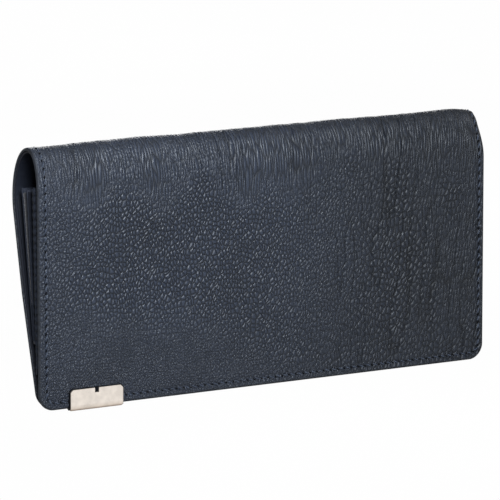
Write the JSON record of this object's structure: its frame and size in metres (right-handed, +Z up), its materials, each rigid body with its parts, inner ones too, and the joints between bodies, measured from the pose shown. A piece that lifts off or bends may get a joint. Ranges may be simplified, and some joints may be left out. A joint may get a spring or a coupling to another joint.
{
  "type": "long wallet",
  "caption": "Long wallet with a fold-over pebbled leather flap, a metal edge plate, card slots, note compartments and a zipped coin pocket.",
  "frame": {"origin": "bottom centre of the bounding box, on the surface that the wallet's lower edge stands on", "axes": "+X along the wallet to the right as the flap is seen, -Y is the flap's side, +Z up to the fold"},
  "size_m": [0.19, 0.0208, 0.0961],
  "materials": {
    "cover_leather": "navy pebbled leather, semi-matt",
    "lining_leather": "fine-grained navy leather",
    "pocket_fabric": "plain woven",
    "zip_tape": "ribbed tape",
    "zip_metal": "polished nickel",
    "plate_metal": "satin warm nickel"
  },
  "bodies": {
    "root": {"back_leather": "cover_leather", "back_lining": "lining_leather", "rear_gusset_left": "lining_leather", "rear_gusset_right": "lining_leather"},
    "spine": {"spine_leather": "cover_leather", "spine_lining": "lining_leather"},
    "flap": {"flap_leather": "cover_leather", "flap_lining": "lining_leather", "flap_pocket": "lining_leather", "edge_plate": "plate_metal"},
    "coin_pocket": {"coin_wall_front": "lining_leather", "coin_wall_rear": "lining_leather", "zip_tape_front": "zip_tape", "zip_tape_rear": "zip_tape", "zip_teeth_front": "zip_metal", "zip_teeth_rear": "zip_metal", "zip_stop_left": "zip_metal", "zip_stop_right": "zip_metal", "coin_gusset_left": "pocket_fabric", "coin_gusset_right": "pocket_fabric", "front_gusset_left": "lining_leather", "front_gusset_right": "lining_leather"},
    "card_panel": {"card_panel": "cover_leather", "card_slot_1": "lining_leather", "card_slot_2": "lining_leather", "card_slot_3": "lining_leather"},
    "zip_slider": {"zip_slider": "zip_metal"},
    "zip_pull": {"zip_pull": "zip_metal"}
  },
  "joints": [
    {"name": "spine_fold", "type": "hinge", "parent": "root", "child": "spine", "pos_m": [0, 0.0063, 0.0914], "axis": [-1, 0, 0], "range_deg": [0, 96]},
    {"name": "flap_fold", "type": "hinge", "parent": "spine", "child": "flap", "pos_m": [0, -0.00532, 0.09458], "axis": [-1, 0, 0], "range_deg": [0, 96]},
    {"name": "coin_pocket_tilt", "type": "hinge", "parent": "root", "child": "coin_pocket", "pos_m": [0, -0.0053, 0.0141], "axis": [1, 0, 0], "range_deg": [0, 9.6], "deforming": ["rear_gusset_left", "rear_gusset_right"]},
    {"name": "card_panel_tilt", "type": "hinge", "parent": "coin_pocket", "child": "card_panel", "pos_m": [0, -0.0053, 0.0141], "axis": [1, 0, 0], "range_deg": [0, 9.6], "deforming": ["front_gusset_left", "front_gusset_right"]},
    {"name": "zip_slide", "type": "slide", "parent": "coin_pocket", "child": "zip_slider", "axis": [-1, 0, 0], "range_m": [0, 0.142]},
    {"name": "zip_pull_swing", "type": "hinge", "parent": "zip_slider", "child": "zip_pull", "pos_m": [0.071, 0.0025, 0.0856], "axis": [0, 1, 0], "range_deg": [0, 17]}
  ],
  "couplings": [
    {"joint": "flap_fold", "follows": "spine_fold", "ratio": 1},
    {"joint": "coin_pocket_tilt", "follows": "spine_fold", "ratio": 0.1},
    {"joint": "card_panel_tilt", "follows": "spine_fold", "ratio": 0.1}
  ]
}
